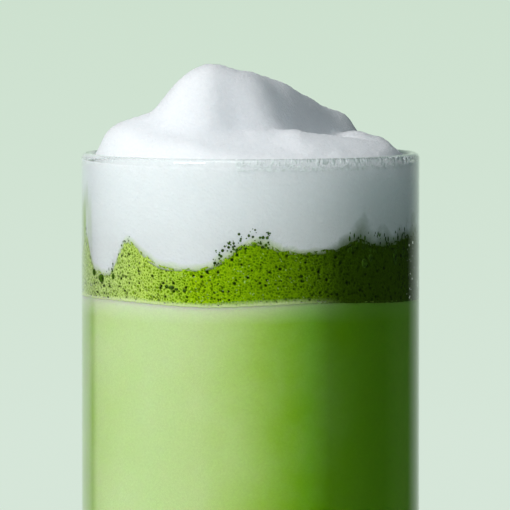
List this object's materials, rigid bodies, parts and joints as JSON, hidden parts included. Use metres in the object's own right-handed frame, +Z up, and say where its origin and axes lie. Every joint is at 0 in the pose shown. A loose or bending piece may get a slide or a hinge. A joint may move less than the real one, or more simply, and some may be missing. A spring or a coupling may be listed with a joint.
{
  "type": "matcha latte in a glass",
  "caption": "Straight clear tumbler filled with pale green matcha milk, a dark green froth layer and a heaped crown of milk foam.",
  "frame": {"origin": "middle of the glass's foot, on the surface it stands on", "axes": "+Z up along the glass's axis; -Y is the side seen first, with the tall heap of foam a little towards -X"},
  "size_m": [0.066, 0.066, 0.1474],
  "materials": {
    "glass": "clear, smooth",
    "milk": "opaque pale green liquid behind glass",
    "froth": "dark green bubbly froth",
    "foam": "soft white milk foam, satin"
  },
  "bodies": {
    "root": {"glass": "glass", "milk": "milk", "froth": "froth", "foam": "foam"}
  },
  "joints": []
}
